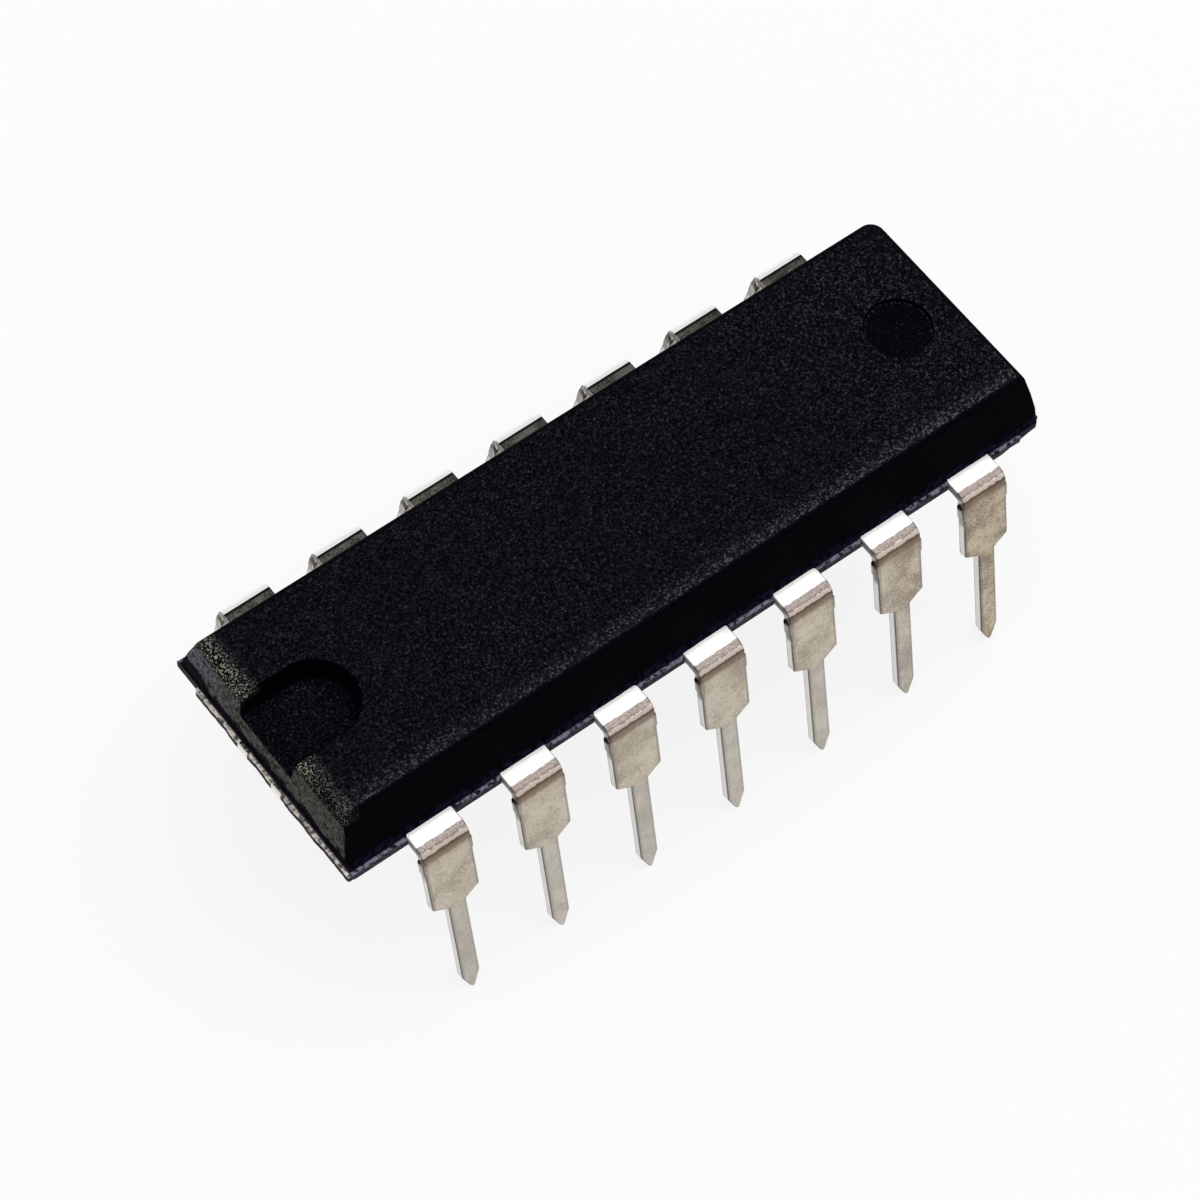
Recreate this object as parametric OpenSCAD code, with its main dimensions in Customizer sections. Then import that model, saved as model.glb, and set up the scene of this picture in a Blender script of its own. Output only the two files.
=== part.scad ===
// A plastic dual in-line integrated circuit with fourteen leads, standing on its lead tips.
// X runs along the body with the notched end at -X, Y runs across the two rows, and Z is up.
// Leads 1 to 7 stand in the front row at -Y from left to right, and 8 to 14 in the back row from right to left.
// The origin is on the ground below the middle of the body. All sizes are in millimetres.

/* [Moulded body] */
// Distance from the middle of the last lead in a row to the end of the body, without flash
end_margin = 2.11; // [1.8:0.01:2.5]
// Thickness of the body from its underside to its top face
body_thick = 3.2; // [2.9:0.05:3.8]
// How far each long side leans in by the top face and by the underside
side_inset = 0.48; // [0.3:0.02:0.6]
// How far each end leans in by the top face
end_inset = 0.2; // [0.08:0.01:0.3]
// How far each end leans in by the underside
under_end_inset = 0.44; // [0.3:0.02:0.6]
// Height of the upright land at each end, above the lead strip
end_land = 0.4; // [0.2:0.05:0.7]
// Radius along the edges of the top face and of the underside
edge_r = 0.2; // [0.1:0.01:0.3]
// Width of the flat at the foot and at the top of each leaning corner of the body
corner_flat = 0.08; // [0.04:0.01:0.15]
// Width of the flat along the corner next to lead 8, which is broken further
broken_corner_flat = 0.36; // [0.2:0.02:0.45]
// How far the thin flash stands out round the body at the mould line
flash = 0.09; // [0.04:0.01:0.14]
// Length of the flash broken away from the front side, next to the end without a notch
side_flash_gap = 0.58; // [0.4:0.02:0.8]
// Length of the flash broken away from the notched end, next to the back side
end_flash_gap = 0.72; // [0.5:0.02:0.9]

/* [Marks in the body] */
// Radius of the half-round notch at the top face
notch_r = 1.04; // [0.8:0.02:1.2]
// Distance from the end of the body to the centre of the notch's round end
notch_in = 1.38; // [1.1:0.01:1.6]
// Depth of the notch
notch_depth = 0.65; // [0.3:0.05:0.9]
// How far the notch's wall leans in from the top face to the floor
notch_lean = 0.08; // [0.02:0.01:0.15]
// Diameter of the round marks that the ejector pins leave
ejector_d = 1.62; // [1.2:0.02:2]
// Depth of the ejector marks
ejector_depth = 0.1; // [0.04:0.01:0.2]
// Distance from the end of the body to the centre of an ejector mark
ejector_in = 1.7; // [1.4:0.01:2]

/* [Leads] */
// Spacing of the leads along a row
pitch = 2.54; // [2.5:0.01:2.58]
// Thickness of the lead strip
strip_t = 0.25; // [0.2:0.01:0.3]
// Width of a lead above its shoulder
shoulder_w = 1.26; // [1.04:0.01:1.48]
// Width of a lead below its shoulder
pin_w = 0.47; // [0.38:0.01:0.56]
// Distance between the outer faces of the two rows, carried up to the level of the lead tops
row_span = 7.66; // [7.4:0.02:7.9]
// Distance from the side of the body, without flash, to the outer face of a row at that level
lead_reach = 0.645; // [0.5:0.005:0.8]
// Radius inside the bend
bend_r = 0.05; // [0.02:0.01:0.1]
// Lean of the legs out of upright, in degrees
leg_lean = 11.6; // [4:0.2:14]
// Length of a leg along its outer face, from the level of the lead tops to its tip
leg_len = 5.49; // [5:0.01:6]
// Length of the wide part of a leg, measured the same way
wide_len = 2.07; // [1.9:0.01:2.3]
// Length of the taper below the wide part
taper_len = 0.24; // [0.15:0.01:0.35]
// Length of the pointed end
tip_len = 0.45; // [0.3:0.01:0.6]
// Width of the blunt end of the tip
tip_w = 0.12; // [0.08:0.01:0.2]
// Distance along the leg to the trimmed stub of the bar that joined the leads
stub_from = 0.36; // [0.34:0.01:0.5]
// Length of that stub along the leg
stub_len = 0.4; // [0.3:0.01:0.5]
// How far the stub stands out of the lead's side
stub_proud = 0.03; // [0.01:0.01:0.05]

/* [Lead strip inside the body] */
// Width of a lead's finger inside the body
finger_w = 0.28; // [0.24:0.01:0.32]
// Gap between neighbouring parts of the strip
strip_gap = 0.2; // [0.16:0.01:0.24]
// Length of a lead inside the body before its anchor
neck_len = 0.3; // [0.2:0.01:0.4]
// Length of the anchor that holds a lead in the plastic
anchor_len = 0.45; // [0.35:0.01:0.5]
// Width of the anchor
anchor_w = 1.6; // [1.5:0.01:1.8]
// Length of the die pad
pad_len = 4.4; // [4:0.05:4.6]
// Width of the die pad
pad_wid = 2.4; // [2.2:0.02:2.5]
// Width of a tie bar
tie_w = 0.35; // [0.3:0.01:0.4]
// Distance from the middle of the body to the middle of a tie bar
tie_y = 0.63; // [0.55:0.01:0.66]
// How far a tie bar's cut end stands out of the flash
tie_proud = 0.03; // [0.01:0.01:0.06]
// Spacing of the finger tips along the long side of the die pad
tip_step = 0.85; // [0.8:0.01:0.9]
// Run of the slant between a finger's anchor and its straight stretch
slant_run = 0.7; // [0.5:0.05:1]

/* [Die and wires] */
// Length of the silicon die
die_len = 1.4; // [1.2:0.05:1.8]
// Width of the silicon die
die_wid = 1.2; // [1:0.05:1.6]
// Thickness of the silicon die
die_t = 0.28; // [0.2:0.01:0.38]
// How far the bonding layer reaches past the die on each side
attach_margin = 0.05; // [0.02:0.01:0.1]
// Thickness of the bonding layer
attach_t = 0.03; // [0.02:0.005:0.05]
// Spacing of the wires where they leave the long sides of the die
bond_step = 0.25; // [0.2:0.01:0.27]
// Distance from the edge of the die, or from the end of a finger, to the wire's end
bond_in = 0.1; // [0.07:0.01:0.12]
// Distance from the middle of the die to the wires that leave its short sides
bond_side_y = 0.25; // [0.2:0.01:0.3]
// Diameter of a bond wire
wire_d = 0.03; // [0.025:0.001:0.04]
// Diameter of the ball at the die end of a wire
ball_d = 0.08; // [0.06:0.005:0.1]
// Rise of a wire's loop above a straight line
wire_rise = 0.4; // [0.3:0.02:0.5]

/* [Hidden] */
LEADS_PER_ROW = 7;
LEAD_COUNT = 2 * LEADS_PER_ROW;
MIDDLE_LEAD = (LEADS_PER_ROW + 1) / 2;
LEAD_NUMBERS = [1 : LEAD_COUNT];

$fn = 48;
// Flat strips that make up a rounded edge of the body
EDGE_STEPS = 6;
// Sides and lengths of the tube that makes up a bond wire
WIRE_SIDES = 6;
WIRE_STEPS = 9;
// How far a cutting shape runs past the surface that it cuts
CLEAR = 0.5;

// Levels
lead_top_z = leg_len * cos(leg_lean) + strip_t * sin(leg_lean);
strip_z = lead_top_z - strip_t;
half_thick = (body_thick - strip_t) / 2;
top_z = lead_top_z + half_thick;
under_z = strip_z - half_thick;
attach_z = lead_top_z;
die_z = attach_z + attach_t;
die_top_z = die_z + die_t;

// Length and width of the body at the mould line, without flash
body_len = (LEADS_PER_ROW - 1) * pitch + 2 * end_margin;
body_wid = row_span - 2 * lead_reach;

// Places in the body, as distances from its middle
side_y = body_wid / 2;
end_x = body_len / 2;
anchor_out_y = side_y - neck_len;
anchor_in_y = anchor_out_y - anchor_len;
tip_y = pad_wid / 2 + strip_gap;
outer_run_y = tie_y + tie_w / 2 + strip_gap + finger_w / 2;
inner_run_y = outer_run_y + finger_w + strip_gap;
pad_side_x = pad_len / 2 + strip_gap;
inner_run_x = pitch + finger_w / 2 + strip_gap;

// The bend between the flat part of a lead and its leg
bend_out_r = bend_r + strip_t;
bend_turn = 90 - leg_lean;
bend_tangent = bend_out_r * tan(bend_turn / 2);
bend_y = row_span / 2 - bend_tangent;

// Plane geometry

function unit(v) = v / norm(v);

function left_of(v) = [-v[1], v[0]];

function reversed(list) = [for (k = [len(list) - 1 : -1 : 0]) list[k]];

// The sideways step at point k of a path that keeps both edges parallel to it
function side_step(path, k) =
    let (
        last = len(path) - 1,
        before = left_of(unit(path[max(k, 1)] - path[max(k, 1) - 1])),
        after = left_of(unit(path[min(k, last - 1) + 1] - path[min(k, last - 1)]))
    )
    (before + after) / (1 + before * after);

function strip_side(path, offset) =
    [for (k = [0 : len(path) - 1]) path[k] + offset * side_step(path, k)];

// The outline of a strip of one width along a path
function strip_outline(path, width) =
    concat(strip_side(path, width / 2), reversed(strip_side(path, -width / 2)));

// The corner at b of an outline a, b, c, rounded to a radius
function rounded_corner(a, b, c, radius) =
    let (
        u = unit(a - b),
        v = unit(c - b),
        half = acos(u * v) / 2,
        centre = b + unit(u + v) * radius / sin(half),
        first = b + u * radius / tan(half) - centre,
        start = atan2(first[1], first[0]),
        turn = (180 - 2 * half) * sign(cross(v, u))
    )
    [for (k = [0 : EDGE_STEPS])
        centre + radius * [cos(start + turn * k / EDGE_STEPS), sin(start + turn * k / EDGE_STEPS)]];

// One quarter of a body section: an upright stretch, then a leaning face and a rounded edge
function quarter_section(half_len, upright_z, inset) =
    concat(
        [[half_len, upright_z]],
        rounded_corner(
            [half_len, upright_z],
            [half_len - inset, half_thick],
            [0, half_thick],
            edge_r
        )
    );

function mirrored_x(points) = [for (p = reversed(points)) [-p[0], p[1]]];

function half_section(half_len, upright_z, inset) =
    let (right = quarter_section(half_len, upright_z, inset))
    concat(right, mirrored_x(right));

// A whole section of the body: its upper half, and its lower half one strip thickness below
function body_section(half_len, upright_z, upper_inset, lower_inset) =
    concat(
        half_section(half_len, upright_z, upper_inset),
        [for (p = reversed(half_section(half_len, 0, lower_inset))) [p[0], -p[1] - strip_t]]
    );

// Moulded body

module body_block() {
    intersection() {
        translate([0, side_y + CLEAR, lead_top_z])
            rotate([90, 0, 0])
                linear_extrude(body_wid + 2 * CLEAR)
                    polygon(body_section(end_x, end_land, end_inset, under_end_inset));
        translate([-end_x - CLEAR, 0, lead_top_z])
            rotate([90, 0, 90])
                linear_extrude(body_len + 2 * CLEAR)
                    polygon(body_section(side_y, 0, side_inset, side_inset));
    }
}

// A block that cuts a flat along the leaning corner at +X +Y of a half of the body
module corner_cutter(flat, end_lean_in) {
    lean = atan((end_lean_in + side_inset) / sqrt(2) / half_thick);
    translate([end_x, side_y, lead_top_z])
        rotate([0, 0, 45])
            rotate([0, -lean, 0])
                translate([-flat / 2, -CLEAR, -CLEAR])
                    cube([2 * CLEAR, 2 * CLEAR, half_thick + 3 * CLEAR]);
}

// The same cut at the four corners, the broken one at +X +Y
module four_corner_cuts(end_lean_in) {
    for (end = [0, 1], side = [0, 1])
        mirror([end, 0, 0])
            mirror([0, side, 0])
                corner_cutter(end + side == 0 ? broken_corner_flat : corner_flat, end_lean_in);
}

module corner_cuts() {
    four_corner_cuts(end_inset);
    translate([0, 0, 2 * lead_top_z - strip_t])
        mirror([0, 0, 1])
            four_corner_cuts(under_end_inset);
}

// The flash all round, less the two stretches at opposite corners that are broken away
module mould_flash() {
    past = flash + CLEAR;
    translate([0, 0, strip_z])
        linear_extrude(strip_t)
            difference() {
                square([body_len + 2 * flash, body_wid + 2 * flash], center = true);
                translate([end_x - side_flash_gap, -side_y - past])
                    square([side_flash_gap + past, past]);
                translate([-end_x - past, side_y - end_flash_gap])
                    square([past, end_flash_gap + past]);
            }
}

// The half-round notch at the lead 1 end, open through the end face
module notch_space() {
    floor_z = top_z - notch_depth;
    over = CLEAR / notch_depth;
    floor_r = notch_r - notch_lean;
    over_r = notch_r + notch_lean * over;
    centre_x = -end_x + notch_in;
    translate([centre_x, 0, floor_z])
        cylinder(r1 = floor_r, r2 = over_r, h = notch_depth + CLEAR);
    translate([centre_x, 0, floor_z])
        rotate([90, 0, -90])
            linear_extrude(notch_in + CLEAR)
                polygon([
                    [-floor_r, 0],
                    [floor_r, 0],
                    [over_r, notch_depth + CLEAR],
                    [-over_r, notch_depth + CLEAR]
                ]);
}

module ejector_mark(x, z) {
    translate([x, 0, z - ejector_depth])
        cylinder(d = ejector_d, h = 2 * ejector_depth);
}

module moulded_body() {
    color("#1c1d22")
        difference() {
            union() {
                difference() {
                    body_block();
                    corner_cuts();
                }
                mould_flash();
            }
            notch_space();
            ejector_mark(end_x - ejector_in, top_z);
            ejector_mark(end_x - ejector_in, under_z);
            ejector_mark(-end_x + ejector_in, under_z);
            for (n = LEAD_NUMBERS) place_lead(n) lead_flat(row_place(n));
            pad_with_tie_bars();
            attach_layer();
            die_block();
            for (n = LEAD_NUMBERS) wire_tube(n);
        }
}

// Leads

// Place of a lead in its row, counted from the middle lead
function row_place(n) = (n <= LEADS_PER_ROW ? n : n - LEADS_PER_ROW) - MIDDLE_LEAD;

// A lead is drawn in the front row, and the back row is the front one turned round
module place_lead(n) {
    rotate([0, 0, n <= LEADS_PER_ROW ? 0 : 180])
        children();
}

// Path of a finger from its anchor to the die pad, for the k-th lead from the middle.
// X is the distance from the middle lead, and Y the distance from the middle of the body.
function finger_path(k) =
    let (root = [k * pitch, anchor_in_y])
    k == 3 ? [root, [root[0] - slant_run, outer_run_y], [pad_side_x, outer_run_y]]
    : k == 2 ? [root, [root[0] - slant_run, inner_run_y], [inner_run_x, inner_run_y]]
    : [root, [k * tip_step, tip_y]];

// Flat part of a lead: the finger, the anchor and the neck that leaves the body
module lead_flat(place) {
    k = abs(place);
    turned = place < 0 ? -1 : 1;
    path = finger_path(k);
    start = [path[0] + unit(path[0] - path[1]) * finger_w / 2];
    points = strip_outline(concat(start, path), finger_w);
    translate([0, 0, strip_z])
        linear_extrude(strip_t) {
            polygon([for (p = points) [turned * p[0], -p[1]]]);
            translate([place * pitch - anchor_w / 2, -anchor_out_y])
                square([anchor_w, anchor_len]);
            translate([place * pitch - shoulder_w / 2, -bend_y])
                square([shoulder_w, bend_y - anchor_in_y]);
        }
}

module lead_bend(place) {
    translate([place * pitch, -bend_y, lead_top_z - bend_out_r])
        rotate([180, 0, 0])
            rotate([0, 90, 0])
                rotate_extrude(angle = bend_turn)
                    translate([bend_r, -shoulder_w / 2])
                        square([strip_t, shoulder_w]);
}

// Half of a leg's outline, from the bend to the tip: half width and length along the leg
leg_half_outline = [
    [shoulder_w / 2, bend_tangent],
    [shoulder_w / 2, stub_from],
    [shoulder_w / 2 + stub_proud, stub_from],
    [shoulder_w / 2 + stub_proud, stub_from + stub_len],
    [shoulder_w / 2, stub_from + stub_len],
    [shoulder_w / 2, wide_len],
    [pin_w / 2, wide_len + taper_len],
    [pin_w / 2, leg_len - tip_len],
    [tip_w / 2, leg_len]
];

module lead_leg(place) {
    right = [for (p = leg_half_outline) [p[0], -p[1]]];
    translate([place * pitch, -row_span / 2, lead_top_z])
        rotate([90 - leg_lean, 0, 0])
            translate([0, 0, -strip_t])
                linear_extrude(strip_t)
                    polygon(concat(right, mirrored_x(right)));
}

module lead(n) {
    place = row_place(n);
    color("#b9b2a6")
        place_lead(n) {
            lead_flat(place);
            lead_bend(place);
            lead_leg(place);
        }
}

// Die pad and die

module pad_with_tie_bars() {
    bar_len = body_len + 2 * (flash + tie_proud);
    translate([0, 0, strip_z])
        linear_extrude(strip_t) {
            square([pad_len, pad_wid], center = true);
            for (side = [-1, 1])
                translate([0, side * tie_y])
                    square([bar_len, tie_w], center = true);
        }
}

module die_pad() {
    color("#b87333")
        pad_with_tie_bars();
}

module attach_layer() {
    size_x = die_len + 2 * attach_margin;
    size_y = die_wid + 2 * attach_margin;
    translate([-size_x / 2, -size_y / 2, attach_z])
        cube([size_x, size_y, attach_t]);
}

module die_attach() {
    color("#c9c9c4")
        attach_layer();
}

module die_block() {
    translate([-die_len / 2, -die_wid / 2, die_z])
        cube([die_len, die_wid, die_t]);
}

module silicon_die() {
    color("#4a5568")
        die_block();
}

// Bond wires

// Where the wire of the k-th lead from the middle leaves the die
function die_bond(k) =
    k == 3 ? [die_len / 2 - bond_in, bond_side_y] : [k * bond_step, die_wid / 2 - bond_in];

// Where it meets the finger, a little way back from the finger's end
function finger_bond(k) =
    let (path = finger_path(k), last = len(path) - 1)
    path[last] + unit(path[last - 1] - path[last]) * bond_in;

// Middle of the wire at a share of its way: level distance, then height
function wire_point(span, share) = [
    span * (3 * pow(share, 2) - 2 * pow(share, 3)),
    die_top_z - (die_top_z - lead_top_z) * pow(share, 2) + wire_rise * 4 * share * (1 - share)
];

// Direction of the wire there
function wire_direction(span, share) = unit([
    span * 6 * share * (1 - share),
    -2 * (die_top_z - lead_top_z) * share + wire_rise * 4 * (1 - 2 * share)
]);

function wire_ring(from, heading, span, step) =
    let (
        share = step / WIRE_STEPS,
        middle = wire_point(span, share),
        way = wire_direction(span, share),
        radius = (step == 0 ? ball_d : wire_d) / 2,
        across = left_of(heading)
    )
    [for (k = [0 : WIRE_SIDES - 1])
        let (
            turn = 360 * k / WIRE_SIDES,
            level = middle[0] - radius * sin(turn) * way[1],
            height = middle[1] + radius * sin(turn) * way[0],
            sideways = radius * cos(turn)
        )
        [
            from[0] + heading[0] * level + across[0] * sideways,
            from[1] + heading[1] * level + across[1] * sideways,
            height
        ]];

// A bond wire: a many-sided tube whose first end lies flat on the die and whose last lies flat on the finger
module wire_tube(n) {
    place = row_place(n);
    k = abs(place);
    turned = place < 0 ? -1 : 1;
    from = [turned * die_bond(k)[0], -die_bond(k)[1]];
    to = [turned * finger_bond(k)[0], -finger_bond(k)[1]];
    heading = unit(to - from);
    span = norm(to - from);
    points = [for (step = [0 : WIRE_STEPS]) each wire_ring(from, heading, span, step)];
    walls = [for (step = [0 : WIRE_STEPS - 1], k = [0 : WIRE_SIDES - 1])
        let (next = (k + 1) % WIRE_SIDES, low = step * WIRE_SIDES, high = low + WIRE_SIDES)
        each [[low + k, high + k, high + next], [low + k, high + next, low + next]]];
    first_end = [for (k = [0 : WIRE_SIDES - 1]) k];
    last_end = [for (k = [WIRE_SIDES - 1 : -1 : 0]) WIRE_STEPS * WIRE_SIDES + k];
    place_lead(n)
        polyhedron(points = points, faces = concat([first_end], walls, [last_end]));
}

module bond_wire(n) {
    color("#d9b44a")
        wire_tube(n);
}

moulded_body();
die_pad();
die_attach();
silicon_die();
for (n = LEAD_NUMBERS) {
    lead(n);
    bond_wire(n);
}
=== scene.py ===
# %% [markdown]
# # A plastic dual in-line chip, dressed for the camera
#
# The chip is a block of black moulding compound with fourteen tin plated leads. It is small, about 20 mm
# long, so every size below is written in millimetres and turned into metres at the end. The packed model
# gives the places of the pieces, and this lesson gives them their finish: grain in the plastic, thin ragged
# flash round the mould line, and the dull shine of tin that has been bent and sheared.

import math
from types import SimpleNamespace

import bmesh
import bpy
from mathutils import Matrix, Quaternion, Vector, noise


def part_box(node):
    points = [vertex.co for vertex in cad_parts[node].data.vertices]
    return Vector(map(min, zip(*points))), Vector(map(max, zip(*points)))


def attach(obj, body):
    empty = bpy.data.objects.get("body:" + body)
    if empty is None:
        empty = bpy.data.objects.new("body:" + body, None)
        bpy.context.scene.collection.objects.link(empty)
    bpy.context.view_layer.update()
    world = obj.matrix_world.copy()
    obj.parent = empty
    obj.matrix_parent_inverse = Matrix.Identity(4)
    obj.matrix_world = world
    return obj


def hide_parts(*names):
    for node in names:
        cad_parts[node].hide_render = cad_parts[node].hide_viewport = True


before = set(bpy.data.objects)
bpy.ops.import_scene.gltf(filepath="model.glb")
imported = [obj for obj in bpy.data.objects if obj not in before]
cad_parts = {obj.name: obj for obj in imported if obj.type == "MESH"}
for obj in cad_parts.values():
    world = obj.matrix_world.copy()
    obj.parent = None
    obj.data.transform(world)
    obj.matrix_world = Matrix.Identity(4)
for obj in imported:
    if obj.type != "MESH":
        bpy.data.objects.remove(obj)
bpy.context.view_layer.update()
MM = 0.001
print("nodes loaded:", len(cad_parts))

# %% [markdown]
# The photograph looks down on the chip from its front left, at about sixty degrees above the table, through
# a long lens. The camera stands where the edges of the body and the corners of the leads fall on the same
# spots as in the photograph. It is tilted a few degrees about its own axis, as a hand-held camera is.

# %% Place the camera
CAMERA_AZIMUTH = math.radians(40.86)
CAMERA_ELEVATION = math.radians(59.84)
CAMERA_ROLL = math.radians(3.96)
CAMERA_DISTANCE = 99.94 * MM
CAMERA_AIM = Vector((-0.51, -0.14, 3.45)) * MM
CAMERA_NEAR = 10 * MM
CAMERA_FAR = 2000 * MM
SENSOR = 36.0
FOCAL_LENGTH = 131.2


def direction(azimuth, elevation):
    """Unit vector from the chip towards that azimuth and elevation, azimuth 0 being the front."""
    level = math.cos(elevation)
    return Vector((-math.sin(azimuth) * level, -math.cos(azimuth) * level, math.sin(elevation)))


def aimed_turn(towards_viewer, roll=0.0):
    """Rotation of a camera or a lamp that looks back along that direction."""
    return (-towards_viewer).to_track_quat("-Z", "Y") @ Quaternion((0, 0, 1), roll)


camera_side = direction(CAMERA_AZIMUTH, CAMERA_ELEVATION)
camera_data = bpy.data.cameras.new("camera")
camera_data.sensor_width = SENSOR
camera_data.lens = FOCAL_LENGTH
camera_data.clip_start = CAMERA_NEAR
camera_data.clip_end = CAMERA_FAR
camera = bpy.data.objects.new("camera", camera_data)
camera.location = CAMERA_AIM + camera_side * CAMERA_DISTANCE
camera.rotation_mode = "QUATERNION"
camera.rotation_quaternion = aimed_turn(camera_side, CAMERA_ROLL)
bpy.context.scene.collection.objects.link(camera)
bpy.context.scene.camera = camera
bpy.context.scene.view_settings.view_transform = "Standard"
print("camera height in mm:", round(camera.location.z / MM, 1))

# %% [markdown]
# A material is a small network of nodes, and so is a Geometry Nodes tree. One helper keeps both short to
# write. It adds a node, sets its options, and fills its sockets with values or with another node's output.

# %% Add a node and fill its sockets


def fill(tree, socket, value):
    """Link a socket to another node's output, or give it a value of its own."""
    if isinstance(value, bpy.types.NodeSocket):
        tree.links.new(value, socket)
    else:
        socket.default_value = value


def add_node(tree, kind, options=None, at=None, **named):
    """A new node. It takes sockets by number in at, or by name with an underscore for each space."""
    node = tree.nodes.new(kind)
    for key, value in (options or {}).items():
        setattr(node, key, value)
    for number, value in (at or {}).items():
        fill(tree, node.inputs[number], value)
    for name, value in named.items():
        fill(tree, node.inputs[name.replace("_", " ")], value)
    return node


# %% [markdown]
# A finish is written in a few short words: a band is a soft step from 0 to 1, grain is noise, and mix and
# blend go from one colour or number to another. All patterns read Object coordinates in millimetres, so that
# they have a real size and stay on the piece from every side.

# %% Words for a finish


class Network:
    """A material's nodes, with a short word for each of those that this lesson uses."""

    def __init__(self, name):
        self.material = bpy.data.materials.new(name)
        self.material.use_nodes = True
        self.tree = self.material.node_tree
        self.tree.nodes.clear()
        place = self.add("ShaderNodeTexCoord").outputs["Object"]
        in_mm = self.add("ShaderNodeVectorMath", {"operation": "SCALE"}, Vector=place, Scale=1 / MM)
        self.place = in_mm.outputs["Vector"]
        self.x, self.y, self.z = self.add("ShaderNodeSeparateXYZ", Vector=self.place).outputs

    def add(self, kind, options=None, at=None, **named):
        return add_node(self.tree, kind, options, at, **named)

    def facing(self):
        """How far the surface looks along X, Y and Z, each from -1 to 1."""
        normal = self.add("ShaderNodeNewGeometry").outputs["True Normal"]
        return self.add("ShaderNodeSeparateXYZ", Vector=normal).outputs

    def math(self, operation, first, second=0.0, clamp=False):
        options = {"operation": operation, "use_clamp": clamp}
        return self.add("ShaderNodeMath", options, at={0: first, 1: second}).outputs[0]

    def plus(self, first, second):
        return self.math("ADD", first, second)

    def minus(self, first, second):
        return self.math("SUBTRACT", first, second)

    def times(self, first, second):
        return self.math("MULTIPLY", first, second)

    def larger(self, first, second):
        return self.math("MAXIMUM", first, second)

    def unsigned(self, value):
        return self.math("ABSOLUTE", value)

    def off(self, value, centre):
        """Distance of a value from a centre, to either side."""
        return self.unsigned(self.minus(value, centre))

    def swing(self, grain, width):
        """Grain as a push to and fro, over that width in all."""
        return self.times(self.minus(grain, 0.5), width)

    def ramp(self, value, start, steepness):
        """0 up to start, then rising straight to 1."""
        return self.math("MULTIPLY", self.minus(value, start), steepness, clamp=True)

    def band(self, value, start, stop):
        """0 at start, 1 at stop, with a soft step between them."""
        options = {"interpolation_type": "SMOOTHSTEP"}
        return self.add("ShaderNodeMapRange", options, Value=value, From_Min=start, From_Max=stop).outputs[0]

    def grain(self, per_mm, detail=2.0, roughness=0.5, stretch=(1, 1, 1)):
        """Noise with that many grains to the millimetre."""
        spot = self.add("ShaderNodeMapping", Vector=self.place, Scale=stretch).outputs[0]
        return self.add(
            "ShaderNodeTexNoise", Vector=spot, Scale=per_mm, Detail=detail, Roughness=roughness
        ).outputs["Fac"]

    def mix(self, share, *colours):
        """Colour between two colours."""
        first, second = ((*c, 1.0) if isinstance(c, tuple) else c for c in colours)
        return self.add("ShaderNodeMix", {"data_type": "RGBA"}, at={0: share, 6: first, 7: second}).outputs[2]

    def blend(self, share, first, second):
        """Number between two numbers."""
        options = {"data_type": "FLOAT"}
        return self.add("ShaderNodeMix", options, at={0: share, 2: first, 3: second}).outputs[0]

    def bump(self, height, depth_mm, **under):
        """Relief of that depth from a height of 0 to 1, on top of the relief in Normal if there is one."""
        return self.add("ShaderNodeBump", Height=height, Distance=depth_mm * MM, **under).outputs["Normal"]

    def finish(self, **named):
        shader = self.add("ShaderNodeBsdfPrincipled", **named)
        self.add("ShaderNodeOutputMaterial", Surface=shader.outputs[0])
        print("material", self.material.name, "has", len(self.tree.nodes), "nodes")
        return self.material


print("words for a finish:", ", ".join(word for word in vars(Network) if not word.startswith("_")))

# %% [markdown]
# The chip stands on a white sheet. Most of the sheet's brightness is its own, so that it shows white to the
# camera and in the metal, and the rest is lit by the lamps, so that it keeps a soft shadow.

# %% White sheet
FLOOR_HALF = 400 * MM
FLOOR_DROP = 0.01 * MM
FLOOR_OWN_LIGHT = 0.85
FLOOR_GREY = 0.62
WHITE = (1, 1, 1, 1)


def white_sheet():
    net = Network("white_sheet")
    paper = net.add("ShaderNodeBsdfDiffuse", Color=(FLOOR_GREY, FLOOR_GREY, FLOOR_GREY, 1))
    glow = net.add("ShaderNodeEmission", Color=WHITE, Strength=1.0)
    rays = net.add("ShaderNodeLightPath").outputs
    share = net.times(net.larger(rays["Is Camera Ray"], rays["Is Glossy Ray"]), FLOOR_OWN_LIGHT)
    both = net.add("ShaderNodeMixShader", at={0: share, 1: paper.outputs[0], 2: glow.outputs[0]})
    net.add("ShaderNodeOutputMaterial", Surface=both.outputs[0])
    return net.material


sheet_mesh = bpy.data.meshes.new("floor")
corners = [(x * FLOOR_HALF, y * FLOOR_HALF, -FLOOR_DROP) for x, y in ((-1, -1), (1, -1), (1, 1), (-1, 1))]
sheet_mesh.from_pydata(corners, [], [(0, 1, 2, 3)])
sheet_mesh.materials.append(white_sheet())
floor = bpy.data.objects.new("floor", sheet_mesh)
bpy.context.scene.collection.objects.link(floor)
print("sheet is", round(2 * FLOOR_HALF / MM), "mm wide")

# %% [markdown]
# White surroundings light the chip softly from all sides. One very large lamp hangs above, a little to the
# right, and lights the flat tops of the leads, which are painted white as a highlight too. A second one
# stands at the left, beside the notched end.

# %% Surroundings and lamps
WORLD_LIGHT = 0.75
LAMP_DISTANCE = 260 * MM


def make_world():
    """White to the camera, and a little less bright for all that it lights."""
    world = bpy.data.worlds.new("studio")
    world.use_nodes = True
    tree = world.node_tree
    seen = add_node(tree, "ShaderNodeLightPath").outputs["Is Camera Ray"]
    level = add_node(tree, "ShaderNodeMix", at={0: seen, 2: WORLD_LIGHT, 3: 1.0})
    back = tree.nodes["Background"]
    fill(tree, back.inputs["Color"], WHITE)
    fill(tree, back.inputs["Strength"], level.outputs[0])
    bpy.context.scene.world = world


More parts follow.
